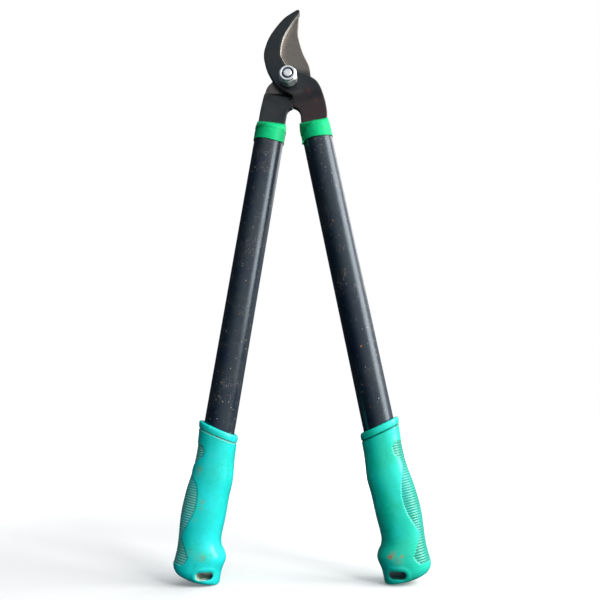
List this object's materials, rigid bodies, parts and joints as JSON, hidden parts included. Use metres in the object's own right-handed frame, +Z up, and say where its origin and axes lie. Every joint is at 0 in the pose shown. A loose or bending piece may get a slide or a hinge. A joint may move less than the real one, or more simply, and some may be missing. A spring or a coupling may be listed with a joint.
{
  "type": "bypass loppers",
  "caption": "Two-handed bypass loppers: a curved cutting blade swings past a hooked counter blade on a bolted pivot, at the head of long tubular handles with moulded grips.",
  "frame": {"origin": "on the floor midway between the two grips, in the cutting plane", "axes": "+Z up towards the blade tips, X across the two handles with the counter blade's handle at +X, +Y towards the bolt head, away from the nut"},
  "size_m": [0.2188, 0.0374, 0.5351],
  "materials": {
    "hook_steel": "blackened forged steel with a bright ground inner edge",
    "blade_steel": "satin ground tool steel with light rust staining",
    "zinc": "bright zinc plate",
    "nylon": "smooth dark blue nylon",
    "tube_paint": "gloss black paint on steel tube, lightly scratched",
    "grip_pvc": "semi-gloss turquoise moulded PVC, dusty in the ribs",
    "tape": "glossy green PVC tape, creased",
    "rivet_steel": "plain steel",
    "packing_wood": "bare turned hardwood",
    "plug_plastic": "black moulded plastic"
  },
  "bodies": {
    "hook_arm": {"counter_blade": "hook_steel", "pivot_bolt": "zinc", "pivot_nut": "zinc", "nut_nylon_ring": "nylon", "nut_washer": "zinc", "bolt_head_washer": "zinc", "right_tube": "tube_paint", "right_tube_plug": "plug_plastic", "right_tang_rivet": "rivet_steel", "right_packing_front": "packing_wood", "right_packing_rear": "packing_wood", "right_tape": "tape", "right_grip": "grip_pvc"},
    "blade_arm": {"cutting_blade": "blade_steel", "left_tube": "tube_paint", "left_tube_plug": "plug_plastic", "left_tang_rivet": "rivet_steel", "left_packing_front": "packing_wood", "left_packing_rear": "packing_wood", "left_tape": "tape", "left_grip": "grip_pvc"}
  },
  "joints": [
    {"name": "pivot", "type": "hinge", "parent": "hook_arm", "child": "blade_arm", "pos_m": [-0.003, 0, 0.46108], "axis": [0, 1, 0], "range_deg": [0, 55]}
  ]
}
